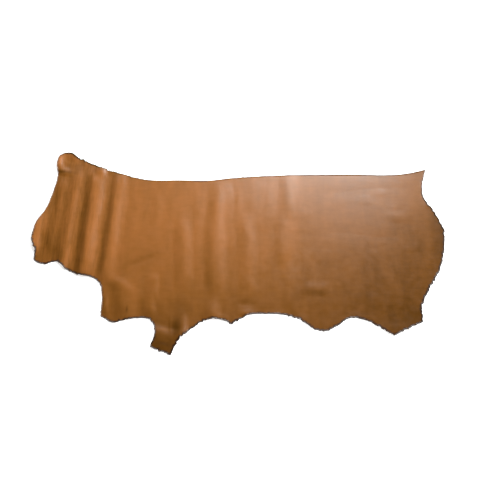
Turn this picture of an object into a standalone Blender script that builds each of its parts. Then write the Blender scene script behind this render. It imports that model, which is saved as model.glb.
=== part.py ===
"""A tanned side of cattle leather, grain side up, lying loosely on a flat surface.

A side is half a hide, cut along the backbone. The neck is at -X, the butt at +X, the backbone edge at +Y and the
belly edge, with its fore and hind shanks, at -Y. It is one sheet of even thickness with a knife-trimmed edge.
Deep growth wrinkles cross the neck, lower folds cross the back, and a few corners and rims stand off the surface.
Everywhere else the flesh side lies flat at Z = 0.
"""

import math
from collections import namedtuple

import bpy
from mathutils import Matrix, Vector
from mathutils.geometry import delaunay_2d_cdt, interpolate_bezier

MM = 0.001

# Driving dimensions, in millimetres.
HIDE_THICKNESS = 2.8
EDGE_SPACING = 15.0  # between the points along the trimmed edge
FOLD_SPACING = 30.0  # between the points along a fold's crest and its sides
OPEN_SPACING = 90.0  # between the points where the sheet lies flat
LEAST_GAP = 10.0  # no two points of the sheet are nearer than this
RIBS_A_SIDE = 4  # lines of points along each side of a fold, from its crest to its foot

# The knife's waver along the edge is two long waves, each with its length and its share of the row's waver.
WAVER_WAVES = ((71.0, 0.6), (43.0, 0.4))

GRAIN_COLOUR = (0.337, 0.144, 0.050)  # russet tan, linear
GRAIN_ROUGHNESS = 0.48

# Landmarks round the edge, clockwise seen from above. Each row gives
#   along   distance from the foremost point of the cheek towards the butt,
#   below   distance from the rump's backbone line towards the belly,
#   turn    whether the edge runs smoothly through the landmark or turns a corner there,
#   waver   how far the trimming knife wanders on the stretch that follows.
Landmark = namedtuple("Landmark", "name along below turn waver")
OUTLINE = (
    Landmark("lobe front", 95, -75, "smooth", 1.0),
    Landmark("lobe corner", 105, -130, "smooth", 1.0),
    Landmark("lobe crown", 170, -155, "smooth", 1.5),
    Landmark("lobe step", 215, -125, "corner", 2.5),
    Landmark("nape", 345, -60, "smooth", 2.5),
    Landmark("withers front", 495, -5, "smooth", 1.0),
    Landmark("withers", 645, 35, "smooth", 0.0),
    Landmark("back front", 855, 40, "smooth", 0.0),
    Landmark("back middle", 1060, 40, "smooth", 0.5),
    Landmark("loin step", 1130, 30, "smooth", 1.0),
    Landmark("loin", 1290, 15, "smooth", 0.5),
    Landmark("rump front", 1505, 5, "smooth", 0.0),
    Landmark("rump", 1870, 0, "smooth", 0.0),
    Landmark("rump back", 2260, -10, "smooth", 0.5),
    Landmark("tail root", 2360, -35, "corner", 1.0),
    Landmark("tail notch", 2325, 110, "smooth", 1.5),
    Landmark("tail notch end", 2330, 165, "smooth", 2.0),
    Landmark("pin bone", 2370, 235, "smooth", 2.0),
    Landmark("buttock", 2425, 375, "corner", 1.5),
    Landmark("thigh top", 2410, 490, "smooth", 2.0),
    Landmark("thigh", 2370, 620, "smooth", 3.0),
    Landmark("gaskin", 2285, 760, "smooth", 2.5),
    Landmark("hock", 2240, 850, "smooth", 2.0),
    Landmark("hind shank heel", 2235, 940, "corner", 2.0),
    Landmark("hind shank toe", 2065, 1020, "corner", 2.5),
    Landmark("hind shank front", 1995, 975, "smooth", 2.0),
    Landmark("stifle", 1925, 935, "smooth", 1.0),
    Landmark("stifle hollow", 1815, 925, "smooth", 1.0),
    Landmark("flank rear", 1780, 950, "smooth", 2.0),
    Landmark("flank fold", 1670, 995, "smooth", 2.0),
    Landmark("flank front", 1625, 980, "smooth", 2.5),
    Landmark("flank rise", 1565, 935, "smooth", 2.5),
    Landmark("belly rear", 1485, 905, "smooth", 0.5),
    Landmark("belly middle", 1365, 895, "smooth", 0.5),
    Landmark("belly front", 1260, 905, "smooth", 2.0),
    Landmark("belly step", 1215, 930, "smooth", 2.5),
    Landmark("navel", 1175, 955, "corner", 2.0),
    Landmark("navel front", 1120, 930, "smooth", 0.5),
    Landmark("brisket hollow", 1085, 925, "smooth", 1.0),
    Landmark("brisket", 1025, 935, "smooth", 2.5),
    Landmark("brisket front", 950, 985, "smooth", 3.0),
    Landmark("fore shank back", 880, 1055, "smooth", 2.5),
    Landmark("fore shank heel", 845, 1130, "corner", 2.5),
    Landmark("fore shank toe", 730, 1085, "corner", 1.5),
    Landmark("fore shank front", 750, 980, "smooth", 1.5),
    Landmark("elbow", 715, 925, "smooth", 1.0),
    Landmark("elbow hollow", 685, 920, "smooth", 1.0),
    Landmark("breast back", 585, 930, "smooth", 1.0),
    Landmark("breast point", 515, 945, "smooth", 2.0),
    Landmark("breast corner", 445, 905, "corner", 1.0),
    Landmark("breast front", 440, 765, "smooth", 1.0),
    Landmark("shoulder hollow", 425, 715, "smooth", 1.5),
    Landmark("throat", 370, 675, "smooth", 1.0),
    Landmark("throat front", 310, 665, "smooth", 1.5),
    Landmark("jaw back", 220, 625, "smooth", 1.5),
    Landmark("jaw notch", 165, 580, "smooth", 1.0),
    Landmark("jaw low", 90, 595, "smooth", 1.0),
    Landmark("cheek corner", 35, 570, "smooth", 1.0),
    Landmark("cheek nick", 30, 505, "corner", 1.5),
    Landmark("cheek", 5, 450, "smooth", 1.0),
    Landmark("cheek top", 15, 335, "corner", 1.0),
    Landmark("neck end low", 65, 225, "smooth", 1.0),
    Landmark("neck end", 90, 115, "smooth", 1.0),
    Landmark("neck nick", 105, 0, "smooth", 1.0),
)

# The folds and lifted rims. Each is a soft ridge that runs from start to end, both (along, below). Seen by someone
# who walks from start to end, it falls off to the surface within reach_right on one hand and reach_left on the other.
# bow moves the middle of its crest to the left, and fade is the length over which each end dies away.
# A crest just outside the edge lifts the rim there.
Fold = namedtuple("Fold", "name start end bow rise reach_right reach_left fade")
FOLDS = (
    Fold("lobe front curl", (90, -200), (105, 0), 0, 13.5, 25, 50, 80),
    Fold("lobe crown curl", (60, -175), (240, -130), 5, 7.5, 65, 20, 55),
    Fold("lobe crease", (60, -30), (220, -5), 0, 5.5, 30, 45, 90),
    Fold("cheek rim", (25, 205), (5, 575), -10, 15, 25, 85, 105),
    Fold("neck end swell", (60, 70), (120, 570), 0, 2.5, 55, 35, 105),
    Fold("jaw wrinkle", (150, 5), (130, 530), 0, 4, 50, 60, 80),
    Fold("first neck wrinkle", (240, -90), (205, 725), -15, 7.5, 60, 40, 145),
    Fold("second neck wrinkle", (335, -80), (320, 745), 5, 12, 60, 80, 150),
    Fold("third neck wrinkle", (480, -75), (440, 755), 5, 7.5, 50, 80, 155),
    Fold("nape ruffle", (375, -100), (395, 40), -10, 7.5, 55, 40, 70),
    Fold("breast crease", (430, 645), (665, 800), 0, 2, 50, 50, 45),
    Fold("breast fold", (530, 660), (600, 975), 5, 4, 70, 80, 65),
    Fold("elbow fold", (695, 740), (750, 955), -5, 5, 65, 40, 110),
    Fold("arm fold", (735, 635), (740, 840), -5, 3.5, 60, 35, 65),
    Fold("fore shank hump", (710, 985), (930, 1030), -15, 7.5, 100, 60, 50),
    Fold("fore shank ridge", (900, 855), (930, 1125), -10, 12, 60, 40, 150),
    Fold("first back fold", (890, 255), (910, 795), -10, 5.5, 70, 70, 130),
    Fold("second back fold", (1110, 5), (1100, 905), -35, 6.5, 70, 85, 240),
    Fold("third back fold", (1260, 245), (1270, 885), 0, 4.5, 75, 65, 190),
    Fold("loin fold", (1530, -100), (1500, 375), 0, 4.5, 75, 65, 180),
    Fold("paunch fold", (1490, 245), (1445, 635), 0, 4, 60, 80, 125),
    Fold("belly fold", (1515, 570), (1495, 925), 0, 2.5, 55, 65, 135),
    Fold("brisket ripple", (1085, 785), (1070, 995), -10, 10, 70, 60, 120),
    Fold("belly rim", (1185, 895), (1325, 910), 5, 4, 20, 55, 70),
    Fold("flank bump", (1560, 740), (1750, 750), 0, 2, 50, 60, 65),
    Fold("hind shank rim", (1960, 1020), (2255, 990), 5, 4, 20, 90, 125),
)


def smooth_step(share):
    """0 to 1 as share goes from 0 to 1, level at both ends."""
    share = min(max(share, 0.0), 1.0)
    return 0.5 - 0.5 * math.cos(math.pi * share)


def handles(before, here, after, turn):
    """The Bezier handles of the edge at a landmark: level with its neighbours, or straight towards them."""
    back = here - before
    ahead = after - here
    if turn == "corner":
        return here - back / 3, here + ahead / 3
    run = (back.normalized() * ahead.length + ahead.normalized() * back.length).normalized()
    return here - run * back.length / 3, here + run * ahead.length / 3


def waver(run):
    """How far the knife wanders, from -1 to 1, this many millimetres round the landmarks."""
    return sum(share * math.sin(2 * math.pi * run / length) for length, share in WAVER_WAVES)


def outline_points():
    """Points round the trimmed edge, clockwise, as (along, below)."""
    places = [Vector((mark.along, mark.below)) for mark in OUTLINE]
    count = len(places)
    arms = [handles(places[i - 1], places[i], places[(i + 1) % count], OUTLINE[i].turn) for i in range(count)]
    edge = []
    run = 0.0
    for i, mark in enumerate(OUTLINE):
        start = places[i]
        end = places[(i + 1) % count]
        length = (end - start).length
        steps = max(1, round(length / EDGE_SPACING))
        span = interpolate_bezier(start, arms[i][1], arms[(i + 1) % count][0], end, steps + 1)
        for j in range(steps):
            along_edge = (span[j + 1] - span[j]).normalized()
            across_edge = Vector((along_edge.y, -along_edge.x))
            edge.append(span[j] + across_edge * mark.waver * waver(run + length * j / steps))
        run += length
    return edge


def fold_frame(fold):
    """A fold's start, the direction it runs in, the direction to its left and its length."""
    start = Vector(fold.start)
    run = Vector(fold.end) - start
    ahead = run.normalized()
    return start, ahead, Vector((ahead.y, -ahead.x)), run.length


def fold_crest(fold, share):
    """How far to the left of the straight line the crest stands, this share of the way along the fold."""
    return fold.bow * math.sin(math.pi * share)


def lift(place):
    """The height of the sheet's flesh side above the surface at (along, below)."""
    height = 0.0
    for fold in FOLDS:
        start, ahead, left, length = fold_frame(fold)
        offset = place - start
        run = offset.dot(ahead)
        if not 0.0 < run < length:
            continue
        side = offset.dot(left) - fold_crest(fold, run / length)
        reach = fold.reach_left if side > 0 else fold.reach_right
        ends = smooth_step(run / fold.fade) * smooth_step((length - run) / fold.fade)
        height += fold.rise * ends * smooth_step(1 - abs(side) / reach)
    return height


def fold_points(fold):
    """Points on lines along the fold, from one foot over the crest to the other, in rows that folds alike share."""
    start, ahead, left, length = fold_frame(fold)
    axis = 1 if abs(ahead.y) > abs(ahead.x) else 0
    first = math.ceil(start[axis] / FOLD_SPACING)
    last = math.floor(fold.end[axis] / FOLD_SPACING)
    for row in range(first, last + 1):
        run = (row * FOLD_SPACING - start[axis]) / ahead[axis]
        for rib in range(-RIBS_A_SIDE, RIBS_A_SIDE + 1):
            reach = fold.reach_left if rib > 0 else fold.reach_right
            side = fold_crest(fold, run / length) + reach * rib / RIBS_A_SIDE
            yield start + ahead * run + left * side


def open_points():
    """A loose grid for the flat stretches, its rows set half a step off each other."""
    furthest = max(mark.along for mark in OUTLINE)
    lowest = max(mark.below for mark in OUTLINE)
    rows = math.ceil(lowest / OPEN_SPACING) + 1
    for row in range(rows):
        for column in range(math.ceil(furthest / OPEN_SPACING) + 1):
            yield Vector(((column + row % 2 / 2) * OPEN_SPACING, row * OPEN_SPACING))


def inside(place, edge):
    """Whether the place is within the edge, by the crossings of a line towards the butt."""
    crossings = 0
    for i, corner in enumerate(edge):
        before = edge[i - 1]
        if (before.y > place.y) == (corner.y > place.y):
            continue
        share = (place.y - before.y) / (corner.y - before.y)
        crossings += before.x + share * (corner.x - before.x) > place.x
    return crossings % 2 == 1


def sheet_points(edge):
    """The edge's points, then those of the folds and the flat stretches that keep clear of all before them."""
    places = list(edge)
    cells = {}

    def cell(place):
        return int(place.x // LEAST_GAP), int(place.y // LEAST_GAP)

    def clear(place, gap):
        column, row = cell(place)
        span = math.ceil(gap / LEAST_GAP)
        near = (
            other
            for i in range(column - span, column + span + 1)
            for j in range(row - span, row + span + 1)
            for other in cells.get((i, j), ())
        )
        return all((place - other).length >= gap for other in near)

    for place in edge:
        cells.setdefault(cell(place), []).append(place)
    wanted = [(place, LEAST_GAP) for fold in FOLDS for place in fold_points(fold)]
    wanted += [(place, OPEN_SPACING / 2) for place in open_points()]
    for place, gap in wanted:
        if inside(place, edge) and clear(place, gap):
            cells.setdefault(cell(place), []).append(place)
            places.append(place)
    return places


def flesh_side():
    """The sheet's flesh side as a mesh in metres, with +X along, -Y below and its faces towards +Z."""
    edge = outline_points()
    inside_edge_only = 1
    least_apart = 1e-4
    places, _, faces, *_ = delaunay_2d_cdt(
        sheet_points(edge), [], [range(len(edge))], inside_edge_only, least_apart
    )
    mesh = bpy.data.meshes.new("hide")
    mesh.from_pydata([(place.x * MM, -place.y * MM, lift(place) * MM) for place in places], [], faces)
    if sum(face.normal.z for face in mesh.polygons) < 0:
        mesh.flip_normals()
    return mesh


def leather():
    """Vegetable-tanned cowhide, grain side."""
    material = bpy.data.materials.new("cowhide")
    material.use_nodes = True
    shader = material.node_tree.nodes["Principled BSDF"]
    shader.inputs["Base Color"].default_value = (*GRAIN_COLOUR, 1.0)
    shader.inputs["Roughness"].default_value = GRAIN_ROUGHNESS
    shader.inputs["Metallic"].default_value = 0.0
    return material


def centre(hide):
    """Moves the mesh so that the middle of the whole sheet's box stands over the origin."""
    bpy.context.view_layer.update()
    box = hide.evaluated_get(bpy.context.evaluated_depsgraph_get()).bound_box
    middle_x = (min(corner[0] for corner in box) + max(corner[0] for corner in box)) / 2
    middle_y = (min(corner[1] for corner in box) + max(corner[1] for corner in box)) / 2
    hide.data.transform(Matrix.Translation((-middle_x, -middle_y, 0.0)))


def build_hide():
    """The whole side: its flesh side thickened upwards to the grain side, with a plain cut edge between them."""
    hide = bpy.data.objects.new("hide", flesh_side())
    bpy.context.scene.collection.objects.link(hide)
    hide.data.materials.append(leather())
    substance = hide.modifiers.new("substance", "SOLIDIFY")
    substance.thickness = HIDE_THICKNESS * MM
    substance.offset = 1.0
    substance.use_even_offset = True
    substance.use_rim = True
    centre(hide)


for leftover in list(bpy.data.objects):
    bpy.data.objects.remove(leftover, do_unlink=True)

build_hide()
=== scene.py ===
"""Dresses a side of tanned cattle leather, laid grain side up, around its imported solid."""

import math
from collections import namedtuple

import bpy
import numpy as np
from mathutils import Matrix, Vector
from mathutils.geometry import delaunay_2d_cdt, interpolate_bezier
from mathutils.kdtree import KDTree


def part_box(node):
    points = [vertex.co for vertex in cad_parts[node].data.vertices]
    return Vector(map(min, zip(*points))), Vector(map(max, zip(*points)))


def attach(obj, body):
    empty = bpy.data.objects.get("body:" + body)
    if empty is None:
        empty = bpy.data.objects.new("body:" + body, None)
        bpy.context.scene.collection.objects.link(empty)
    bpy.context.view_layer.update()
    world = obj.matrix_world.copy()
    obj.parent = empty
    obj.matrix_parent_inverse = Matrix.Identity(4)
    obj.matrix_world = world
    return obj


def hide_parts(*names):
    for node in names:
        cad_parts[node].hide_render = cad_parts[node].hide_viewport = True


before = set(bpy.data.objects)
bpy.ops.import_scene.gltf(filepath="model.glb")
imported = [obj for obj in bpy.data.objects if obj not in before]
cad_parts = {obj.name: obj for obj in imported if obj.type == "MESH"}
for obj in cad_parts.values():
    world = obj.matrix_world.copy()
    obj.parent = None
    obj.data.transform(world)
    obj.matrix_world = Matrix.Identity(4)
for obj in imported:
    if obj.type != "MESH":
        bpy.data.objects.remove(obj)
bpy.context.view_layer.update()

bl_info = {
    "name": "Leather Side",
    "version": (1, 0, 0),
    "blender": (4, 5, 0),
    "location": "3D View > Sidebar > Leather",
    "description": "Builds a laid-out side of tanned cattle leather and a plain stage to view it on",
    "category": "Add Mesh",
}

MM = 0.001

# Landmarks round the trimmed edge, clockwise seen from above, in millimetres. Each row gives
#   along   distance from the foremost point of the cheek towards the butt,
#   below   distance from the rump's backbone line towards the belly,
#   turn    whether the edge runs smoothly through the landmark or turns a corner there,
#   waver   how far the trimming knife wanders on the stretch that follows,
#   grime and shadow   how dark the rim of that stretch is drawn, from 0 to 1: partly left by handling and dye,
#           and partly painted shadow, set darkest on the belly, shanks and butt and nil along the backbone,
#   flare   how far that rim stands off the floor between the places where it touches.
Landmark = namedtuple("Landmark", "name along below turn waver grime flare")
OUTLINE = (
    Landmark("lobe front", 95, -75, "smooth", 1.0, 0.3, 0),
    Landmark("lobe corner", 105, -130, "smooth", 1.0, 0.3, 0),
    Landmark("lobe crown", 170, -155, "smooth", 1.5, 0.7, 0),
    Landmark("lobe step", 215, -125, "corner", 2.5, 0.7, 1),
    Landmark("nape", 345, -60, "smooth", 2.5, 0.5, 2),
    Landmark("withers front", 495, -5, "smooth", 1.0, 0.1, 1),
    Landmark("withers", 645, 35, "smooth", 0.0, 0.0, 0),
    Landmark("back front", 855, 40, "smooth", 0.0, 0.0, 0),
    Landmark("back middle", 1060, 40, "smooth", 0.5, 0.0, 0),
    Landmark("loin step", 1130, 30, "smooth", 1.0, 0.0, 0),
    Landmark("loin", 1290, 15, "smooth", 0.5, 0.0, 0),
    Landmark("rump front", 1505, 5, "smooth", 0.0, 0.0, 0),
    Landmark("rump", 1870, 0, "smooth", 0.0, 0.0, 0),
    Landmark("rump back", 2260, -10, "smooth", 0.5, 0.1, 0),
    Landmark("tail root", 2360, -35, "corner", 1.0, 0.3, 1),
    Landmark("tail notch", 2325, 110, "smooth", 1.5, 0.5, 1),
    Landmark("tail notch end", 2330, 165, "smooth", 2.0, 0.9, 2),
    Landmark("pin bone", 2370, 235, "smooth", 2.0, 1.0, 2),
    Landmark("buttock", 2425, 375, "corner", 1.5, 1.0, 2),
    Landmark("thigh top", 2410, 490, "smooth", 2.0, 1.0, 2),
    Landmark("thigh", 2370, 620, "smooth", 3.0, 1.0, 2),
    Landmark("gaskin", 2285, 760, "smooth", 2.5, 1.0, 2),
    Landmark("hock", 2240, 850, "smooth", 2.0, 1.0, 2),
    Landmark("hind shank heel", 2235, 940, "corner", 2.0, 0.9, 1),
    Landmark("hind shank toe", 2065, 1020, "corner", 2.5, 0.9, 2),
    Landmark("hind shank front", 1995, 975, "smooth", 2.0, 0.9, 2),
    Landmark("stifle", 1925, 935, "smooth", 1.0, 0.9, 2),
    Landmark("stifle hollow", 1815, 925, "smooth", 1.0, 0.8, 2),
    Landmark("flank rear", 1780, 950, "smooth", 2.0, 0.9, 3),
    Landmark("flank fold", 1670, 995, "smooth", 2.0, 1.0, 3),
    Landmark("flank front", 1625, 980, "smooth", 2.5, 0.9, 2),
    Landmark("flank rise", 1565, 935, "smooth", 2.5, 0.8, 2),
    Landmark("belly rear", 1485, 905, "smooth", 0.5, 0.8, 2),
    Landmark("belly middle", 1365, 895, "smooth", 0.5, 0.8, 2),
    Landmark("belly front", 1260, 905, "smooth", 2.0, 0.6, 1),
    Landmark("belly step", 1215, 930, "smooth", 2.5, 0.9, 2),
    Landmark("navel", 1175, 955, "corner", 2.0, 1.0, 3),
    Landmark("navel front", 1120, 930, "smooth", 0.5, 0.9, 3),
    Landmark("brisket hollow", 1085, 925, "smooth", 1.0, 1.0, 3),
    Landmark("brisket", 1025, 935, "smooth", 2.5, 0.8, 2),
    Landmark("brisket front", 950, 985, "smooth", 3.0, 0.7, 1),
    Landmark("fore shank back", 880, 1055, "smooth", 2.5, 0.9, 2),
    Landmark("fore shank heel", 845, 1130, "corner", 2.5, 1.0, 2),
    Landmark("fore shank toe", 730, 1085, "corner", 1.5, 0.9, 2),
    Landmark("fore shank front", 750, 980, "smooth", 1.5, 0.5, 1),
    Landmark("elbow", 715, 925, "smooth", 1.0, 0.8, 2),
    Landmark("elbow hollow", 685, 920, "smooth", 1.0, 0.8, 2),
    Landmark("breast back", 585, 930, "smooth", 1.0, 0.9, 2),
    Landmark("breast point", 515, 945, "smooth", 2.0, 1.0, 3),
    Landmark("breast corner", 445, 905, "corner", 1.0, 0.4, 1),
    Landmark("breast front", 440, 765, "smooth", 1.0, 0.4, 1),
    Landmark("shoulder hollow", 425, 715, "smooth", 1.5, 0.6, 1),
    Landmark("throat", 370, 675, "smooth", 1.0, 1.0, 2),
    Landmark("throat front", 310, 665, "smooth", 1.5, 1.0, 3),
    Landmark("jaw back", 220, 625, "smooth", 1.5, 1.0, 3),
    Landmark("jaw notch", 165, 580, "smooth", 1.0, 1.0, 2),
    Landmark("jaw low", 90, 595, "smooth", 1.0, 1.0, 2),
    Landmark("cheek corner", 35, 570, "smooth", 1.0, 0.8, 1),
    Landmark("cheek nick", 30, 505, "corner", 1.5, 0.9, 1),
    Landmark("cheek", 5, 450, "smooth", 1.0, 0.8, 1),
    Landmark("cheek top", 15, 335, "corner", 1.0, 0.3, 1),
    Landmark("neck end low", 65, 225, "smooth", 1.0, 0.1, 0),
    Landmark("neck end", 90, 115, "smooth", 1.0, 0.3, 0),
    Landmark("neck nick", 105, 0, "smooth", 1.0, 0.3, 0),
)

# The knife's waver along the edge: the length of each wave and its share of the row's waver. The short waves
# are finer than the solid's edge. They swell and die down round their mean, once in every SHORT_WAVER_SWELL
# millimetres.
LONG_WAVER = ((71.0, 0.6), (43.0, 0.4))
SHORT_WAVER = ((41.0, 0.8), (26.7, 0.9), (17.3, 0.6), (11.9, 0.3))
SHORT_WAVER_MEAN = 0.55
SHORT_WAVER_CHANGE = 0.45
SHORT_WAVER_SWELL = 173.0

# The folds and lifted rims, in millimetres. Each is a soft ridge that runs from start to end, both
# (along, below). Seen by someone who walks from start to end, it falls off within reach_right on one hand
# and reach_left on the other. bow moves the middle of its crest to the left, and fade is the length over
# which each end dies away.
Fold = namedtuple("Fold", "name start end bow rise reach_right reach_left fade")
FOLDS = (
    Fold("lobe front curl", (90, -200), (105, 0), 0, 13.5, 25, 50, 80),
    Fold("lobe crown curl", (60, -175), (240, -130), 5, 7.5, 65, 20, 55),
    Fold("lobe crease", (60, -30), (220, -5), 0, 5.5, 30, 45, 90),
    Fold("cheek rim", (25, 205), (5, 575), -10, 15, 25, 85, 105),
    Fold("neck end swell", (60, 70), (120, 570), 0, 2.5, 55, 35, 105),
    Fold("jaw wrinkle", (150, 5), (130, 530), 0, 4, 50, 60, 80),
    Fold("first neck wrinkle", (240, -90), (205, 725), -15, 7.5, 60, 40, 145),
    Fold("second neck wrinkle", (335, -80), (320, 745), 5, 12, 60, 80, 150),
    Fold("third neck wrinkle", (480, -75), (440, 755), 5, 7.5, 50, 80, 155),
    Fold("nape ruffle", (375, -100), (395, 40), -10, 7.5, 55, 40, 70),
    Fold("breast crease", (430, 645), (665, 800), 0, 2, 50, 50, 45),
    Fold("breast fold", (530, 660), (600, 975), 5, 4, 70, 80, 65),
    Fold("elbow fold", (695, 740), (750, 955), -5, 5, 65, 40, 110),
    Fold("arm fold", (735, 635), (740, 840), -5, 3.5, 60, 35, 65),
    Fold("fore shank hump", (710, 985), (930, 1030), -15, 7.5, 100, 60, 50),
    Fold("fore shank ridge", (900, 855), (930, 1125), -10, 12, 60, 40, 150),
    Fold("first back fold", (890, 255), (910, 795), -10, 5.5, 70, 70, 130),
    Fold("second back fold", (1110, 5), (1100, 905), -35, 6.5, 70, 85, 240),
    Fold("third back fold", (1260, 245), (1270, 885), 0, 4.5, 75, 65, 190),
    Fold("loin fold", (1530, -100), (1500, 375), 0, 4.5, 75, 65, 180),
    Fold("paunch fold", (1490, 245), (1445, 635), 0, 4, 60, 80, 125),
    Fold("belly fold", (1515, 570), (1495, 925), 0, 2.5, 55, 65, 135),
    Fold("brisket ripple", (1085, 785), (1070, 995), -10, 10, 70, 60, 120),
    Fold("belly rim", (1185, 895), (1325, 910), 5, 4, 20, 55, 70),
    Fold("flank bump", (1560, 740), (1750, 750), 0, 2, 50, 60, 65),
    Fold("hind shank rim", (1960, 1020), (2255, 990), 5, 4, 20, 90, 125),
)

# Finer creases on the folds and between them.
CREASES = (
    Fold("lobe pucker", (130, -130), (150, -60), 0, 2, 25, 20, 40),
    Fold("first nape pucker", (260, -130), (270, -45), 0, 2, 20, 20, 50),
    Fold("second nape pucker", (435, -70), (440, 20), 0, 1, 15, 20, 45),
    Fold("third nape pucker", (500, -40), (505, 75), 0, 1, 25, 25, 60),
    Fold("first wrinkle line", (280, -60), (220, 505), 0, 3, 45, 45, 90),
    Fold("second wrinkle line", (395, -5), (320, 600), 0, 2.5, 60, 55, 40),
    Fold("third wrinkle line", (465, 100), (480, 565), -5, 2.5, 35, 50, 150),
    Fold("shoulder line", (605, 75), (585, 470), 0, 0.5, 40, 40, 130),
    Fold("blade line", (715, 85), (720, 380), 5, 1.5, 35, 50, 130),
    Fold("chine line", (795, 85), (800, 350), 5, 0.5, 30, 40, 125),
    Fold("first back line", (970, 80), (950, 570), 10, 1, 40, 45, 145),
    Fold("second back line", (1155, 50), (1150, 410), 5, 1, 40, 30, 85),
    Fold("third back line", (1210, 70), (1210, 310), 0, 0.5, 20, 30, 110),
    Fold("first loin line", (1300, -20), (1300, 285), -5, 0.5, 45, 50, 70),
    Fold("second loin line", (1410, -15), (1370, 345), 0, 0.5, 25, 40, 75),
    Fold("third loin line", (1550, -10), (1575, 295), 5, 0.5, 25, 45, 70),
    Fold("kidney crease", (1235, 325), (1265, 430), -5, 0.5, 20, 20, 65),
    Fold("paunch line", (1590, 480), (1595, 725), 5, 1, 25, 45, 130),
    Fold("breast line", (470, 760), (475, 915), -5, 3, 20, 20, 60),
    Fold("shank line", (835, 900), (840, 1030), 0, 1.5, 10, 40, 45),
    Fold("shank tip line", (755, 1050), (860, 1075), 5, 1.5, 20, 20, 50),
    Fold("thurl crease", (2045, 285), (2265, 290), 0, 1, 55, 55, 95),
    Fold("rump dimple", (2000, 125), (2140, 130), 0, 0.5, 40, 40, 70),
    Fold("hip dimple", (2080, 225), (2190, 230), 0, 0.5, 40, 40, 55),
    Fold("thigh line", (2130, 515), (2290, 470), 0, 0.5, 35, 40, 75),
    Fold("gaskin line", (2025, 800), (2200, 760), 0, 0.5, 30, 35, 95),
)

# Grooves pressed into the grain alone, which leave the flesh side flat. Their rise is below zero.
GROOVES = (
    Fold("shoulder crease", (570, 610), (770, 510), -10, -1.5, 30, 20, 75),
    Fold("second wrinkle trough", (285, -10), (255, 640), -5, -1, 20, 20, 90),
    Fold("belly hollow line", (1195, 835), (1320, 835), 0, -1, 25, 25, 35),
)

# Painted light and shade on the folds that stand highest: how much paler each is drawn on its side towards
# the butt, which faces the side light, and how much deeper on its shaded side towards the neck.
PaintedFoldShading = namedtuple("PaintedFoldShading", "fold pale deep")
PAINTED_FOLD_SHADING = (
    PaintedFoldShading("jaw wrinkle", 0.2, 0.3),
    PaintedFoldShading("first neck wrinkle", 0.2, 0.4),
    PaintedFoldShading("second neck wrinkle", 0.1, 0.65),
    PaintedFoldShading("third neck wrinkle", 0.1, 0.4),
    PaintedFoldShading("second back fold", 0.0, 0.15),
    PaintedFoldShading("paunch fold", 0.2, 0.0),
    PaintedFoldShading("breast fold", 0.2, 0.2),
)
PAINTED_FOLD_SHADING_SPREAD = 1.2  # it shows to this many times the fold's reach
PAINTED_FOLD_SHADING_TOP = -100  # below the backbone line, where it starts to show
PAINTED_FOLD_SHADING_GROWTH = 400  # from there to where it shows in full

# Soft marks in the grain's colour: a middle and half sizes in millimetres, how many degrees the mark's run
# leans down towards the butt, and how much lighter or darker it is. The stains, spots, nick and patches are
# the hide's own colour. The marks named light or shade, the lobe crease and the shoulder line are painted
# light and shade on curls, bends, creases and hollows.
Mark = namedtuple("Mark", "name along below half_along half_below lean tone")
MARKS = (
    Mark("tail stain", 2070, 5, 35, 15, 0, -0.55),
    Mark("breast nick", 590, 870, 5, 20, 0, -0.8),
    Mark("nape stain", 385, -45, 25, 20, 0, -0.35),
    Mark("nape spot", 470, -5, 20, 20, 0, -0.3),
    # Painted shade in the lobe's crease, and painted light on its curled front.
    Mark("lobe crease", 125, -20, 60, 10, 5, -1.0),
    Mark("lobe front light", 110, -100, 15, 45, 0, 0.5),
    Mark("cheek patch", 115, 470, 60, 90, 0, -0.3),
    # Painted light on the cheek's curled-up rim.
    Mark("cheek rim light", 25, 400, 25, 130, -5, 0.5),
    # Painted shade along the shoulder crease and in the elbow's hollow.
    Mark("shoulder line", 655, 560, 130, 20, -25, -0.25),
    Mark("elbow shade", 880, 850, 50, 60, 0, -0.2),
    Mark("shank patch", 870, 970, 25, 40, 0, -0.6),
    # Painted light where the fore shank bends, and painted shade where its tip bends away.
    Mark("shank light", 800, 985, 50, 10, 5, 0.4),
    Mark("shank tip", 800, 1085, 90, 60, 0, -0.3),
    # Painted shade beside the flank bump and in the belly hollow, and painted light on the loin.
    Mark("flank shade", 1650, 770, 70, 20, 0, -0.35),
    Mark("belly shade", 1255, 825, 60, 25, 0, -0.15),
    Mark("loin light", 1500, 60, 150, 90, 0, 0.1),
    # The broad marks from here on are partly the hide's own uneven colour and partly painted light and shade:
    # paler over the shoulder, loin and crest, deeper towards the belly, shanks and butt, where the light
    # falls off.
    Mark("shoulder, paler", 600, 350, 560, 480, 0, 0.5),
    Mark("loin, paler", 1250, 280, 420, 360, 0, 0.3),
    Mark("butt, deeper", 2440, 600, 610, 560, 0, -0.55),
    Mark("thigh, deeper", 2000, 1050, 640, 420, 0, -0.5),
    Mark("belly, deeper", 1250, 1060, 520, 300, 0, -0.15),
    Mark("breast, deeper", 620, 1100, 400, 260, 0, -0.45),
    Mark("fore shank, deeper", 830, 1010, 130, 120, 0, -0.3),
    Mark("rump, deeper", 1900, -60, 560, 200, 0, -0.2),
    Mark("hind shank, deeper", 2170, 930, 120, 90, 0, -0.2),
    Mark("butt rim, deeper", 2440, 400, 70, 240, 0, -0.7),
    Mark("crest, paler", 200, -130, 120, 60, 0, 0.4),
)

# The cut edge's section, from the grain side to the flesh side: how far each line lies in from the cut, in
# millimetres, and how high it is in the sheet's substance, from 1 at the grain to 0 at the flesh.
RimLine = namedtuple("RimLine", "inset level")
RIM = (
    RimLine(1.1, 1.0),
    RimLine(0.35, 0.93),
    RimLine(0.0, 0.68),
    RimLine(0.05, 0.3),
    RimLine(0.7, 0.0),
)

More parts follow.
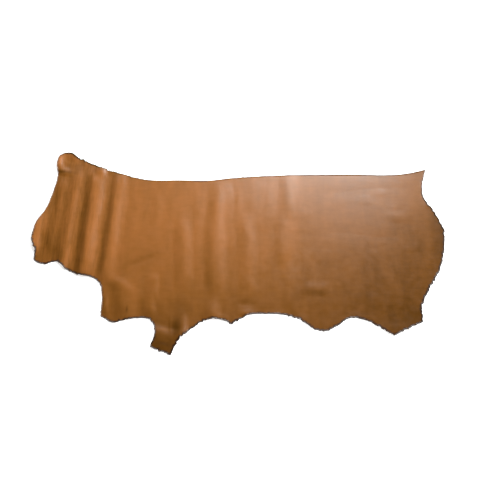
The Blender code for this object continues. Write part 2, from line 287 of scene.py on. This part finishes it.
# Uneven slack that lifts the sheet here and there: the distance between highs, the seed of the pattern, and
# the rise for each unit by which the pattern, from -1 to 1, is above flat_below.
Slack = namedtuple("Slack", "name size seed rise flat_below")
SLACK = (
    Slack("broad swell", 260, 14, 2.2, 0.25),
    Slack("small swell", 90, 15, 0.7, 0.35),
)

# Random unevenness in the folds and the rim. A size runs from one high of the pattern to the next, in
# millimetres.
CLOUD_CELLS = 512  # along each side of the random lattice, before it repeats
WANDER_SIZE = 130  # how a fold's crest strays, with a seed for each direction
WANDER_SEEDS = (11, 12)
SWING = 0.15  # the share by which a fold's height varies along it
SWING_SIZE = 160
SWING_SEED = 13
FLARE_STEP = 0.6  # the rim's height for each step of a landmark's flare
FLARE_REACH = 45  # how far in from the cut the rim is lifted
FLARE_SIZE = 75
FLARE_SEED = 16
FLARE_RAISED = 0.35  # raises the pattern, so that more than half of the rim is lifted

# How bending has changed the grain's tone and drawn it into fine lines, in millimetres and steps of tone. The
# pull also paints light on the crests and shade in the hollows.
CRIMP_END = 640  # along: where the neck's fine lines have died out
CRIMP_RUN = 400  # from there to where they are tightest
CREST_PULL = 0.15  # how far the pull and the painted light and shade move the tone on the body
CREST_PULL_NECK = 0.30  # and how much further on the crimped neck
EVEN_HEIGHT = 4.0  # crests above this are pulled paler and drawn lit, and what lies below it is deepened as painted shade
PULL_HEIGHT = 10.0  # how far above it the tone has moved by the whole pull
TONE_LIMIT = 1.2

# How the mesh is made.
SLOPE_STEP = 1.5  # half the distance over which the sheet's slope is taken, in millimetres
CLEAR_OF_RING = 0.62  # no grid point lies closer to the rim's line than this share of the mesh pitch
WELD_DISTANCE = 1e-5
INSIDE_ONLY = 1  # the triangulation's mode that keeps what lies inside the ring

# The layers of the grain's colour. size is one patch's width in millimetres, and pack_along and pack_below
# draw the patches out: 1 leaves them square, and 0.5 doubles them that way. turn leans them, in radians.
# detail, roughness and ripple roughen their outlines, and shift is how far they move the tone.
#   clouds    where the tan took up more or less, over a hand's width,
#   streaks   the lie of the fibres, from backbone to belly,
#   mottle    uneven waxing, in dabs of a cloth,
#   lines     faint stretch lines, from neck to butt,
#   crimp     the neck's fine growth lines. Real ones are 1 to 3 mm apart, so they are drawn coarser to show.
Layer = namedtuple("Layer", "name size pack_along pack_below turn detail roughness ripple shift")
GRAIN_LAYERS = (
    Layer("clouds", 100, 1.0, 0.45, 0, 2, 0.5, 0.5, 0.12),
    Layer("streaks", 41.7, 1.0, 0.16, 0, 2.5, 0.5, 0.4, 0.07),
    Layer("mottle", 38.5, 1.0, 1.0, 0, 2, 0.5, 0, 0.06),
    Layer("lines", 20.8, 0.28, 1.0, 0, 2, 0.5, 0.4, 0.07),
    Layer("crimp", 12.5, 1.0, 0.12, -0.06, 2.5, 0.65, 0.3, 0.30),
)
NOISE_RANGE = {"From Min": 0.3, "From Max": 0.7}  # where nearly all of a noise texture's values lie

WAXED_ROUGHNESS = (0.30, 0.36)  # from well waxed to thinly waxed
GRIME_AND_SHADOW_REACH = (0.5, 1.6)  # the darkened rim's narrowest and widest, as shares of its width
GRIME_AND_SHADOW_DEPTH = 2  # the rim's darkening at the cut. Above 1 it shows in full, so that the darkest rim is even for half its width

# Sizes of the other patterns, in millimetres.
UNEVEN_RIM_SIZE = 18.2  # the darkened rim's uneven width, partly a finger's smudge and partly painted shadow
NAP_SIZE = 3.85  # the flesh side's nap. Real nap is 0.5 mm, so it is drawn coarser to show
SHAVING_SIZE = 71.4  # where the shaving knife went a little deeper
FIBRE_SIZE = 3.33  # fibre bundles at the cut edge. Real ones are 0.2 mm, so they are drawn coarser to show

# The Mix node's sockets for colours.
COLOUR_A = 6
COLOUR_B = 7
COLOUR_OUT = 2

FLOOR_SIZE = 40.0
FLOOR_GAP = 0.4 * MM  # the floor lies this far below the flesh side, so that the two don't share a plane
ROOM_GLOW = 0.02  # strength of the dim, even light from the room round the stage
CAMERA_TARGET = Vector((0.0073, 0.0469, 0.0))  # the middle of the view, in metres

# The soft rectangular lamps, in metres, and the stage setting that holds each one's power.
Lamp = namedtuple("Lamp", "name setting size place")
LAMPS = (
    Lamp("sheen_light", "sheen_power", (1.75, 0.95), (0.80, 2.2, 2.0)),
    Lamp("side_light", "side_power", (3.0, 2.5), (7.5, 1.2, 3.0)),
    Lamp("back_light", "back_power", (3.0, 1.0), (-0.5, 3.6, 1.7)),
    Lamp("fill_light", "fill_power", (3.0, 3.0), (-0.6, -3.6, 3.4)),
)


def linear(code):
    """A colour given as an sRGB hex code, as the linear values that shaders take."""
    parts = [int(code[i : i + 2], 16) / 255 for i in (0, 2, 4)]
    return tuple(c / 12.92 if c <= 0.04045 else ((c + 0.055) / 1.055) ** 2.4 for c in parts)


def shade(name, description, code):
    """A colour setting whose default is an sRGB hex code."""
    return bpy.props.FloatVectorProperty(
        name=name, description=description, default=linear(code), min=0, max=1, size=3, subtype="COLOR"
    )


def length(name, description, millimetres):
    """A length setting whose default is given in millimetres."""
    return bpy.props.FloatProperty(
        name=name, description=description, default=millimetres * MM, min=0, precision=5, unit="LENGTH"
    )


def watts(name, description, power):
    """A lamp's power as a setting."""
    return bpy.props.FloatProperty(name=name, description=description, default=power, min=0, subtype="POWER")


class LeatherSizes(bpy.types.PropertyGroup):
    """Sizes of the side that a user may change."""

    substance: length("Substance", "Thickness of the leather", 2.8)
    grain_pitch: length("Grain mesh pitch", "Spacing of the points on the grain side", 6.3)
    flesh_pitch: length("Flesh mesh pitch", "Spacing of the points on the flesh side", 16)
    edge_pitch: length("Edge mesh pitch", "Spacing of the points along the cut edge", 3.2)
    # The grain's rim is drawn darker, partly as grime and partly as painted shadow.
    grime_and_shadow_width: length("Grime width", "Width of the darkened rim of the grain side", 13)
    wander: length("Fold wander", "How far a fold's crest strays from its line", 5)
    # Real pebbles are 1 to 2 mm apart, too fine to show in the render, so they are drawn coarser.
    pebble_pitch: length("Pebble pitch", "Spacing of the grain's pebbles", 4.5)


class LeatherColours(bpy.types.PropertyGroup):
    """Colours of the side that a user may change."""

    grain: shade("Grain", "Russet tan of the grain side", "774919")
    # The deep colour also paints shade in the folds' hollows and where the light falls off.
    grain_deep_and_shade: shade("Grain, deep", "Where the finish has gathered in hollows", "4F2E00")
    # The pulled-up colour also paints light on the folds' lit sides and curls.
    grain_pulled_and_lit: shade("Grain, pulled up", "Where the leather is bent and its wax has moved away", "945B2A")
    flesh: shade("Flesh", "Undyed napped flesh side", "A9825A")
    # The cut's colour is also drawn over the grain's rim, as grime and painted shadow.
    cut: shade("Cut edge", "Compressed and darkened cut edge", "2E1B0C")


class StageSettings(bpy.types.PropertyGroup):
    """The plain stage, its light and its camera."""

    floor: shade("Floor", "Opal sheet of the light table", "FCFCFB")
    floor_glow: bpy.props.FloatProperty(
        name="Floor glow", description="How strongly the light table shines", default=0.45, min=0
    )
    camera_distance: bpy.props.FloatProperty(
        name="Camera distance", description="From the camera to the hide", default=3.9, min=0.5, unit="LENGTH"
    )
    camera_elevation: bpy.props.FloatProperty(
        name="Camera elevation",
        description="Angle of the view above the floor",
        default=math.radians(65),
        min=0.1,
        max=math.pi / 2,
        subtype="ANGLE",
    )
    camera_lens: bpy.props.FloatProperty(
        name="Lens", description="Focal length of the camera, in millimetres", default=50, min=10
    )
    sheen_power: watts("Sheen light", "Light beyond the backbone that the grain mirrors to the camera", 108)
    side_power: watts("Side light", "Low light from the butt's end that models the folds", 830)
    back_power: watts("Back light", "Low light from beyond the withers", 120)
    fill_power: watts("Fill light", "Broad light from behind the camera", 120)


def soft(share):
    """0 to 1 as share goes from 0 to 1, level at both ends."""
    return 0.5 - 0.5 * np.cos(np.pi * np.clip(share, 0, 1))


def cloud(places, size, seed):
    """Smooth random values from -1 to 1 over the places, with about size millimetres from high to high."""
    lattice = np.random.default_rng(seed).uniform(-1, 1, (CLOUD_CELLS, CLOUD_CELLS))
    spot = places / size + CLOUD_CELLS / 2
    cell = np.floor(spot).astype(int)
    part = spot - cell
    mix = part**3 * (part * (part * 6 - 15) + 10)  # level at both ends, so that no cell's border shows
    low = cell % CLOUD_CELLS
    high = (cell + 1) % CLOUD_CELLS
    near = lattice[low[:, 0], low[:, 1]] * (1 - mix[:, 0]) + lattice[high[:, 0], low[:, 1]] * mix[:, 0]
    far = lattice[low[:, 0], high[:, 1]] * (1 - mix[:, 0]) + lattice[high[:, 0], high[:, 1]] * mix[:, 0]
    return near * (1 - mix[:, 1]) + far * mix[:, 1]


def waver(waves, run):
    """The waves' height after this many millimetres of edge, as a share of the row's waver."""
    return sum(share * math.sin(2 * math.pi * run / size) for size, share in waves)


def arms(before, here, after, turn):
    """The edge's Bezier handles at a landmark: on one line through it, or straight towards its neighbours."""
    back = here - before
    ahead = after - here
    if turn == "corner":
        return here - back / 3, here + ahead / 3
    run = (back.normalized() * ahead.length + ahead.normalized() * back.length).normalized()
    return here - run * back.length / 3, here + run * ahead.length / 3


def knife_drift(run, fine):
    """How far the knife has wandered at this point of the edge, as a share of the row's waver."""
    drift = waver(LONG_WAVER, run)
    if fine:
        swell = SHORT_WAVER_MEAN + SHORT_WAVER_CHANGE * math.sin(2 * math.pi * run / SHORT_WAVER_SWELL)
        drift += swell * waver(SHORT_WAVER, run)
    return drift


def cut_line(pitch, fine):
    """The cut's places as (along, below), and the rim's darkening (grime and painted shadow) and flare of
    each. fine adds the short waves.
    """
    marks = [Vector((mark.along, mark.below)) for mark in OUTLINE]
    count = len(marks)
    handles = [arms(marks[i - 1], marks[i], marks[(i + 1) % count], OUTLINE[i].turn) for i in range(count)]
    places = []
    wear = []
    run = 0.0
    for i, mark in enumerate(OUTLINE):
        start = marks[i]
        end = marks[(i + 1) % count]
        after = OUTLINE[(i + 1) % count]
        gap = (end - start).length
        steps = max(1, round(gap / pitch))
        span = interpolate_bezier(start, handles[i][1], handles[(i + 1) % count][0], end, steps + 1)
        for j in range(steps):
            share = j / steps
            ahead = (span[j + 1] - span[j]).normalized()
            outward = Vector((ahead.y, -ahead.x))
            places.append(span[j] + outward * mark.waver * knife_drift(run + gap * share, fine))
            grime = mark.grime + (after.grime - mark.grime) * share
            flare = mark.flare + (after.flare - mark.flare) * share
            wear.append((grime, flare))
        run += gap
    return np.array(places), np.array(wear)


def inset(line, distance):
    """The closed line moved inwards, square to its own run at each point."""
    run = np.roll(line, -1, axis=0) - np.roll(line, 1, axis=0)
    run /= np.linalg.norm(run, axis=1, keepdims=True)
    return line + distance * np.column_stack((-run[:, 1], run[:, 0]))


def across_fold(places, fold):
    """How far across a fold each place is, -1 to 1 at its left foot, and the share of its height there."""
    start = np.array(fold.start, float)
    run = np.array(fold.end, float) - start
    span = np.hypot(*run)
    ahead = run / span
    offset = places - start
    gone = offset @ ahead
    side = offset @ np.array((ahead[1], -ahead[0])) - fold.bow * np.sin(np.pi * np.clip(gone / span, 0, 1))
    reach = np.where(side > 0, fold.reach_left, fold.reach_right)
    return side / reach, soft(gone / fold.fade) * soft((span - gone) / fold.fade)


def ridge_heights(places, folds):
    """The summed heights of the folds at each place, in millimetres."""
    heights = np.zeros(len(places))
    for fold in folds:
        across, here = across_fold(places, fold)
        heights += fold.rise * here * soft(1 - np.abs(across))
    return heights


def painted_fold_shading(places):
    """Painted light and shade on the folds: paler on each fold's side towards the butt, deeper on its side
    towards the neck.
    """
    folds = {fold.name: fold for fold in FOLDS}
    moved = np.zeros(len(places))
    for row in PAINTED_FOLD_SHADING:
        across, here = across_fold(places, folds[row.fold])
        inside = np.clip(across / PAINTED_FOLD_SHADING_SPREAD, -1, 1)
        moved += here * np.sin(np.pi * inside) * np.where(across > 0, row.pale, row.deep)
    return moved * soft((places[:, 1] - PAINTED_FOLD_SHADING_TOP) / PAINTED_FOLD_SHADING_GROWTH)


class Side:
    """The side's shape: the cut line, the flesh side's height and the marks in its colour."""

    def __init__(self, sizes):
        self.substance = sizes.substance / MM
        self.wander = sizes.wander / MM
        self.cut, self.wear = cut_line(sizes.edge_pitch / MM, fine=True)
        # The solid was cut without the short waves, so the middle of its box is that line's middle.
        plain_cut, _ = cut_line(sizes.edge_pitch / MM, fine=False)
        low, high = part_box("hide")
        self.middle = (plain_cut.max(axis=0) + plain_cut.min(axis=0)) / 2
        self.box_middle = np.array((low.x + high.x, low.y + high.y)) / 2 / MM
        self.tree = KDTree(len(self.cut))
        for i, place in enumerate(self.cut):
            self.tree.insert((place[0], place[1], 0), i)
        self.tree.balance()

    def to_edge(self, places):
        """How far each place is from the cut, and the rim's darkening (grime and painted shadow) and flare
        there.
        """
        found = [self.tree.find((x, y, 0)) for x, y in places]
        return np.array([hit[2] for hit in found]), self.wear[[hit[1] for hit in found]]

    def height(self, places):
        """The flesh side's height above the floor, in millimetres."""
        stray = np.column_stack([cloud(places, WANDER_SIZE, seed) for seed in WANDER_SEEDS])
        strayed = places + self.wander * stray
        swing = 1 + SWING * cloud(places, SWING_SIZE, SWING_SEED)
        height = ridge_heights(strayed, FOLDS) * swing + ridge_heights(strayed, CREASES)
        for slack in SLACK:
            height += slack.rise * np.maximum(0, cloud(places, slack.size, slack.seed) - slack.flat_below)
        away, wear = self.to_edge(places)
        lifted = np.maximum(0, FLARE_RAISED + cloud(places, FLARE_SIZE, FLARE_SEED))
        height += FLARE_STEP * wear[:, 1] * soft(1 - away / FLARE_REACH) * lifted
        return np.maximum(0, height)

    def slope_normal(self, places):
        """Unit normals of the sheet at the places, from the heights a little to each side."""
        step = SLOPE_STEP
        ahead = self.height(places + (step, 0)) - self.height(places - (step, 0))
        below = self.height(places + (0, step)) - self.height(places - (0, step))
        normal = np.column_stack((-ahead / (2 * step), below / (2 * step), np.ones(len(places))))
        return normal / np.linalg.norm(normal, axis=1, keepdims=True)

    def points(self, places, level):
        """Points in metres at a level of the substance, from 0 at the flesh side to 1 at the grain side."""
        flat = (places - self.middle) * (1, -1) + self.box_middle
        flesh = np.column_stack((flat, self.height(places)))
        substance = self.substance + ridge_heights(places, GROOVES)
        return (flesh + self.slope_normal(places) * (substance * level)[:, None]) * MM

    def tone(self, places):
        """How light or dark the grain is drawn, from -1 to 1: its stains and pull-up, and painted light and
        shade on the folds, curls and hollows.
        """
        spots = np.zeros(len(places))
        for mark in MARKS:
            offset = places - (mark.along, mark.below)
            lean = math.radians(mark.lean)
            ahead = offset @ (math.cos(lean), math.sin(lean)) / mark.half_along
            aside = offset @ (-math.sin(lean), math.cos(lean)) / mark.half_below
            spots += mark.tone * np.exp(-(ahead**2) - aside**2)
        # Crests are drawn paler and low ground deeper: partly the pull-up of a bent waxed hide, partly
        # painted light and shade on the folds.
        pull = CREST_PULL + CREST_PULL_NECK * self.crimp(places)
        lit_crests_and_shaded_hollows = pull * (ridge_heights(places, FOLDS) - EVEN_HEIGHT) / PULL_HEIGHT
        return np.clip(spots + lit_crests_and_shaded_hollows + painted_fold_shading(places), -TONE_LIMIT, TONE_LIMIT)

    def crimp(self, places):
        """How tightly the skin is drawn up into fine growth lines: 1 at the cheek, 0 past the withers."""
        return soft((CRIMP_END - places[:, 0]) / CRIMP_RUN)


def spread(side, ring, pitch):
    """The ring's places, first, and a triangular grid within it, with the triangles between them all."""
    row_gap = pitch * math.sqrt(3) / 2
    low = ring.min(axis=0)
    high = ring.max(axis=0)
    rows = np.arange(low[1], high[1], row_gap)
    columns = np.arange(low[0], high[0], pitch)
    grid = np.array([(x + (j % 2) * pitch / 2, y) for j, y in enumerate(rows) for x in columns])
    away, _ = side.to_edge(grid)
    grid = grid[away > CLEAR_OF_RING * pitch + RIM[0].inset]
    places = [Vector(place) for place in np.vstack((ring, grid))]
    made, _, faces, *_ = delaunay_2d_cdt(places, [], [range(len(ring))], INSIDE_ONLY, WELD_DISTANCE)
    return np.array(made), np.array(faces)


def rim_strips(starts, count):
    """The quads of the cut edge, strip by strip, between rings of count points that begin at starts."""
    here = np.arange(count)
    after = (here + 1) % count
    strips = [
        np.column_stack((upper + here, upper + after, lower + after, lower + here))
        for upper, lower in zip(starts, starts[1:])
    ]
    return np.vstack(strips)


def mark_points(mesh, side, places):
    """Gives each point of the mesh the values that the grain's material reads."""
    away, wear = side.to_edge(places)
    values = {
        "tone": side.tone(places),
        "grime": wear[:, 0],
        "to_edge": away * MM,
        "crimp": side.crimp(places),
    }
    for name, numbers in values.items():
        mesh.attributes.new(name, "FLOAT", "POINT").data.foreach_set("value", numbers.astype(np.float32))


def sheet_mesh(side, sizes):
    """The side as one closed mesh: the grain, the flesh and the rounded cut edge between them."""
    lines = [inset(side.cut, line.inset) for line in RIM]
    count = len(side.cut)
    grain, grain_faces = spread(side, lines[0], sizes.grain_pitch / MM)
    flesh, flesh_faces = spread(side, lines[-1], sizes.flesh_pitch / MM)
    places = np.vstack([grain, flesh, *lines[1:-1]])
    levels = [np.full(len(grain), 1.0), np.zeros(len(flesh))]
    levels += [np.full(count, line.level) for line in RIM[1:-1]]
    points = side.points(places, np.concatenate(levels))

    # The rim's outer rings are the first points of the grain and of the flesh.
    between = [len(grain) + len(flesh) + k * count for k in range(len(RIM) - 2)]
    rim_faces = rim_strips([0, *between, len(grain)], count)
    faces = (grain_faces, flesh_faces[:, ::-1] + len(grain), rim_faces)
    mesh = bpy.data.meshes.new("leather_side")
    mesh.from_pydata(points.tolist(), [], [face for group in faces for face in group.tolist()])
    slots = np.repeat(np.arange(len(faces)), [len(group) for group in faces])
    mesh.polygons.foreach_set("material_index", slots.astype(np.int32))
    mark_points(mesh, side, places)
    mesh.shade_smooth()
    mesh.validate()
    return mesh


def add(tree, kind, inputs=None, **settings):
    """Adds a node: settings are its own properties, and each input takes a value or another node's output."""
    node = tree.nodes.new(kind)
    for name, value in settings.items():
        setattr(node, name, value)
    for key, value in (inputs or {}).items():
        if isinstance(value, bpy.types.NodeSocket):
            tree.links.new(value, node.inputs[key])
        else:
            node.inputs[key].default_value = value
    return node


def blank_material(name):
    """A new material without nodes, and its node tree."""
    material = bpy.data.materials.new(name)
    material.use_nodes = True
    material.node_tree.nodes.clear()
    return material, material.node_tree


def texture_scale(size):
    """The texture scale that makes a pattern's patches this many millimetres wide."""
    return 1 / (size * MM)


def grain_leather(colours, sizes):
    """Vegetable-tanned cowhide, grain side, struck through with tan and waxed.

    The eye sees a warm brown that is cloudy over a hand's width, streaked from backbone to belly as its
    fibres lie, paler where it is bent and darker in hollows, under a soft semi-matt sheen. The paler bends
    and darker hollows are partly painted light and shade. Its rim is darkened, partly by handling and partly
    as painted shadow.
    """
    material, tree = blank_material("waxed_cowhide_grain")
    spot = add(tree, "ShaderNodeTexCoord").outputs["Object"]
    # The tone read here holds the hide's stains and also its painted light and shade.
    tone = add(tree, "ShaderNodeAttribute", attribute_name="tone").outputs["Fac"]
    grime = add(tree, "ShaderNodeAttribute", attribute_name="grime").outputs["Fac"]
    to_edge = add(tree, "ShaderNodeAttribute", attribute_name="to_edge").outputs["Fac"]
    crimp = add(tree, "ShaderNodeAttribute", attribute_name="crimp").outputs["Fac"]

    patches = {}
    for layer in GRAIN_LAYERS:
        packing = (layer.pack_along, layer.pack_below, 1)
        packed = add(
            tree, "ShaderNodeMapping", {"Vector": spot, "Rotation": (0, 0, layer.turn), "Scale": packing}
        )
        noise = add(
            tree, "ShaderNodeTexNoise",
            {
                "Vector": packed.outputs[0],
                "Scale": texture_scale(layer.size),
                "Detail": layer.detail,
                "Roughness": layer.roughness,
                "Distortion": layer.ripple,
            },
        )
        patches[layer.name] = noise.outputs["Fac"]
        shift = add(
            tree, "ShaderNodeMapRange",
            {"Value": patches[layer.name], **NOISE_RANGE, "To Min": -layer.shift, "To Max": layer.shift},
        )
        here = crimp if layer.name == "crimp" else 1.0  # growth lines show on the neck alone
        moved = add(
            tree, "ShaderNodeMath", {0: shift.outputs[0], 1: here, 2: tone}, operation="MULTIPLY_ADD"
        )
        tone = moved.outputs[0]
    # Tone above 0 draws in the pulled-up colour, which carries painted light; below 0 the deep colour, which
    # carries painted shade.
    paler = add(tree, "ShaderNodeMapRange", {"Value": tone, "From Min": 0, "From Max": 1})
    darker = add(tree, "ShaderNodeMapRange", {"Value": tone, "From Min": 0, "From Max": -1})

    # The grain's rim is drawn dark in the cut's colour: partly grime, partly painted shadow.
    uneven_rim = add(
        tree, "ShaderNodeTexNoise",
        {"Vector": spot, "Scale": texture_scale(UNEVEN_RIM_SIZE), "Detail": 4, "Roughness": 0.7},
    )
    narrow, wide = (reach * sizes.grime_and_shadow_width for reach in GRIME_AND_SHADOW_REACH)
    grime_and_shadow_width = add(
        tree, "ShaderNodeMapRange",
        {"Value": uneven_rim.outputs["Fac"], **NOISE_RANGE, "To Min": narrow, "To Max": wide},
    )
    near_edge = add(
        tree, "ShaderNodeMapRange",
        {
            "Value": to_edge,
            "From Min": 0,
            "From Max": grime_and_shadow_width.outputs[0],
            "To Min": GRIME_AND_SHADOW_DEPTH,
            "To Max": 0,
        },
    )
    rim_grime_and_shadow = add(
        tree, "ShaderNodeMath", {0: near_edge.outputs[0], 1: grime}, operation="MULTIPLY", use_clamp=True
    )

    colour = (*colours.grain, 1)
    for share, other in ((paler, colours.grain_pulled_and_lit), (darker, colours.grain_deep_and_shade), (rim_grime_and_shadow, colours.cut)):
        mixed = add(
            tree, "ShaderNodeMix",
            {"Factor": share.outputs[0], COLOUR_A: colour, COLOUR_B: (*other, 1)}, data_type="RGBA",
        )
        colour = mixed.outputs[COLOUR_OUT]

    pebbles = add(
        tree, "ShaderNodeTexVoronoi", {"Vector": spot, "Scale": 1 / sizes.pebble_pitch}, feature="SMOOTH_F1"
    )
    pebbled = add(
        tree, "ShaderNodeBump",
        {"Height": pebbles.outputs["Distance"], "Strength": 0.12, "Distance": 0.6 * MM},
    )
    growth_lines = add(tree, "ShaderNodeMath", {0: patches["crimp"], 1: crimp}, operation="MULTIPLY")
    crimped = add(
        tree, "ShaderNodeBump",
        {
            "Height": growth_lines.outputs[0],
            "Strength": 0.4,
            "Distance": 2 * MM,
            "Normal": pebbled.outputs[0],
        },
    )
    glossy, dull = WAXED_ROUGHNESS
    waxing = add(
        tree, "ShaderNodeMapRange",
        {"Value": patches["mottle"], **NOISE_RANGE, "To Min": glossy, "To Max": dull},
    )
    shader = add(
        tree, "ShaderNodeBsdfPrincipled",
        {
            "Base Color": colour,
            "Roughness": waxing.outputs[0],
            "Normal": crimped.outputs[0],
            "IOR": 1.5,
            "Specular IOR Level": 0.36,
        },
    )
    add(tree, "ShaderNodeOutputMaterial", {"Surface": shader.outputs[0]})
    return material


def flesh_leather(colours):
    """The same hide's flesh side, split and shaved: a dull, paler nap, uneven where the knife went deeper."""
    material, tree = blank_material("shaved_cowhide_flesh")
    spot = add(tree, "ShaderNodeTexCoord").outputs["Object"]
    nap = add(
        tree, "ShaderNodeTexNoise",
        {"Vector": spot, "Scale": texture_scale(NAP_SIZE), "Detail": 4, "Roughness": 0.7},
    )
    shaving = add(
        tree, "ShaderNodeTexNoise", {"Vector": spot, "Scale": texture_scale(SHAVING_SIZE), "Detail": 3}
    )
    both = add(
        tree, "ShaderNodeMath", {0: nap.outputs["Fac"], 1: shaving.outputs["Fac"]}, operation="MULTIPLY"
    )
    lightness = add(
        tree, "ShaderNodeMapRange",
        {"Value": both.outputs[0], "From Min": 0.1, "From Max": 0.45, "To Min": 0.8, "To Max": 1.1},
    )
    colour = add(
        tree, "ShaderNodeVectorMath", {0: (*colours.flesh,), "Scale": lightness.outputs[0]}, operation="SCALE"
    )
    napped = add(
        tree, "ShaderNodeBump", {"Height": nap.outputs["Fac"], "Strength": 0.5, "Distance": 0.8 * MM}
    )
    shader = add(
        tree, "ShaderNodeBsdfPrincipled",
        {
            "Base Color": colour.outputs[0],
            "Roughness": 0.95,
            "Normal": napped.outputs[0],
            "Sheen Weight": 0.3,
            "Sheen Roughness": 0.5,
            "Specular IOR Level": 0.2,
        },
    )
    add(tree, "ShaderNodeOutputMaterial", {"Surface": shader.outputs[0]})
    return material


def cut_leather(colours):
    """The knife-cut edge: packed fibres darkened by dye and handling, dull, with a few paler ones."""
    material, tree = blank_material("cut_cowhide_edge")
    spot = add(tree, "ShaderNodeTexCoord").outputs["Object"]
    fibres = add(
        tree, "ShaderNodeTexNoise",
        {"Vector": spot, "Scale": texture_scale(FIBRE_SIZE), "Detail": 3, "Roughness": 0.6},
    )
    bare = add(
        tree, "ShaderNodeMapRange",
        {"Value": fibres.outputs["Fac"], "From Min": 0.5, "From Max": 0.75, "To Min": 0, "To Max": 0.45},
    )
    colour = add(
        tree, "ShaderNodeMix",
        {"Factor": bare.outputs[0], COLOUR_A: (*colours.cut, 1), COLOUR_B: (*colours.grain_deep_and_shade, 1)},
        data_type="RGBA",
    )
    frayed = add(
        tree, "ShaderNodeBump", {"Height": fibres.outputs["Fac"], "Strength": 0.4, "Distance": 0.5 * MM}
    )
    shader = add(
        tree, "ShaderNodeBsdfPrincipled",
        {
            "Base Color": colour.outputs[COLOUR_OUT],
            "Roughness": 0.7,
            "Normal": frayed.outputs[0],
            "Specular IOR Level": 0.35,
        },
    )
    add(tree, "ShaderNodeOutputMaterial", {"Surface": shader.outputs[0]})
    return material


def opal_floor(settings):
    """A light table's opal sheet, sanded matt: even and pale, with hardly any shadow under the rims."""
    material, tree = blank_material("opal_light_table")
    shader = add(
        tree, "ShaderNodeBsdfPrincipled",
        {
            "Base Color": (*settings.floor, 1),
            "Roughness": 0.9,
            "Specular IOR Level": 0.1,
            "Emission Color": (*settings.floor, 1),
            "Emission Strength": settings.floor_glow,
        },
    )
    add(tree, "ShaderNodeOutputMaterial", {"Surface": shader.outputs[0]})
    return material


def area_light(lamp, power):
    """A rectangular soft light, turned to the middle of the floor."""
    light = bpy.data.lights.new(lamp.name, "AREA")
    light.shape = "RECTANGLE"
    light.size, light.size_y = lamp.size
    light.energy = power
    fitting = bpy.data.objects.new(lamp.name, light)
    fitting.location = lamp.place
    fitting.rotation_euler = (-Vector(lamp.place)).to_track_quat("-Z", "Y").to_euler()
    bpy.context.scene.collection.objects.link(fitting)


class LEATHER_OT_side(bpy.types.Operator):
    """Builds the side of leather in place of its plain solid"""

    bl_idname = "leather.side"
    bl_label = "Leather Side"

    def execute(self, context):
        sizes = context.scene.leather_sizes
        colours = context.scene.leather_colours
        side = Side(sizes)
        piece = bpy.data.objects.new("leather_side", sheet_mesh(side, sizes))
        context.scene.collection.objects.link(piece)
        materials = (grain_leather(colours, sizes), flesh_leather(colours), cut_leather(colours))
        for material in materials:
            piece.data.materials.append(material)
        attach(piece, "root")
        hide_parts("hide")
        return {"FINISHED"}


class LEATHER_OT_stage(bpy.types.Operator):
    """Builds the floor, the soft light and the camera"""

    bl_idname = "leather.stage"
    bl_label = "Plain Stage"

    def execute(self, context):
        scene = context.scene
        settings = scene.leather_stage
        half = FLOOR_SIZE / 2
        corners = [(x * half, y * half, -FLOOR_GAP) for x, y in ((-1, -1), (1, -1), (1, 1), (-1, 1))]
        mesh = bpy.data.meshes.new("floor")
        mesh.from_pydata(corners, [], [(0, 1, 2, 3)])
        mesh.materials.append(opal_floor(settings))
        floor = bpy.data.objects.new("floor", mesh)
        scene.collection.objects.link(floor)

        for lamp in LAMPS:
            area_light(lamp, getattr(settings, lamp.setting))

        world = bpy.data.worlds.new("room")
        world.use_nodes = True
        background = world.node_tree.nodes["Background"]
        background.inputs["Color"].default_value = (1, 1, 1, 1)
        background.inputs["Strength"].default_value = ROOM_GLOW
        scene.world = world
        scene.view_settings.view_transform = "Standard"

        camera_data = bpy.data.cameras.new("camera")
        camera_data.lens = settings.camera_lens
        camera = bpy.data.objects.new("camera", camera_data)
        elevation = settings.camera_elevation
        back = Vector((0, -math.cos(elevation), math.sin(elevation)))
        camera.location = CAMERA_TARGET + back * settings.camera_distance
        camera.rotation_euler = (math.pi / 2 - elevation, 0, 0)
        scene.collection.objects.link(camera)
        scene.camera = camera
        return {"FINISHED"}


class LEATHER_PT_panel(bpy.types.Panel):
    """Lists the side and its stage in the 3D view's sidebar"""

    bl_idname = "LEATHER_PT_panel"
    bl_label = "Leather Side"
    bl_space_type = "VIEW_3D"
    bl_region_type = "UI"
    bl_category = "Leather"

    def draw(self, context):
        layout = self.layout
        scene = context.scene
        for group in (scene.leather_sizes, scene.leather_colours, scene.leather_stage):
            box = layout.box()
            for name in group.__annotations__:
                box.prop(group, name)
        layout.operator(LEATHER_OT_side.bl_idname)
        layout.operator(LEATHER_OT_stage.bl_idname)


CLASSES = (LeatherSizes, LeatherColours, StageSettings, LEATHER_OT_side, LEATHER_OT_stage, LEATHER_PT_panel)


def register():
    """Adds the classes and their settings to Blender."""
    for cls in CLASSES:
        bpy.utils.register_class(cls)
    bpy.types.Scene.leather_sizes = bpy.props.PointerProperty(type=LeatherSizes)
    bpy.types.Scene.leather_colours = bpy.props.PointerProperty(type=LeatherColours)
    bpy.types.Scene.leather_stage = bpy.props.PointerProperty(type=StageSettings)


def unregister():
    """Takes them out again."""
    del bpy.types.Scene.leather_stage
    del bpy.types.Scene.leather_colours
    del bpy.types.Scene.leather_sizes
    for cls in reversed(CLASSES):
        bpy.utils.unregister_class(cls)


def main():
    """Builds the stage and the side."""
    register()
    bpy.ops.leather.stage()
    bpy.ops.leather.side()


if __name__ == "__main__":
    main()
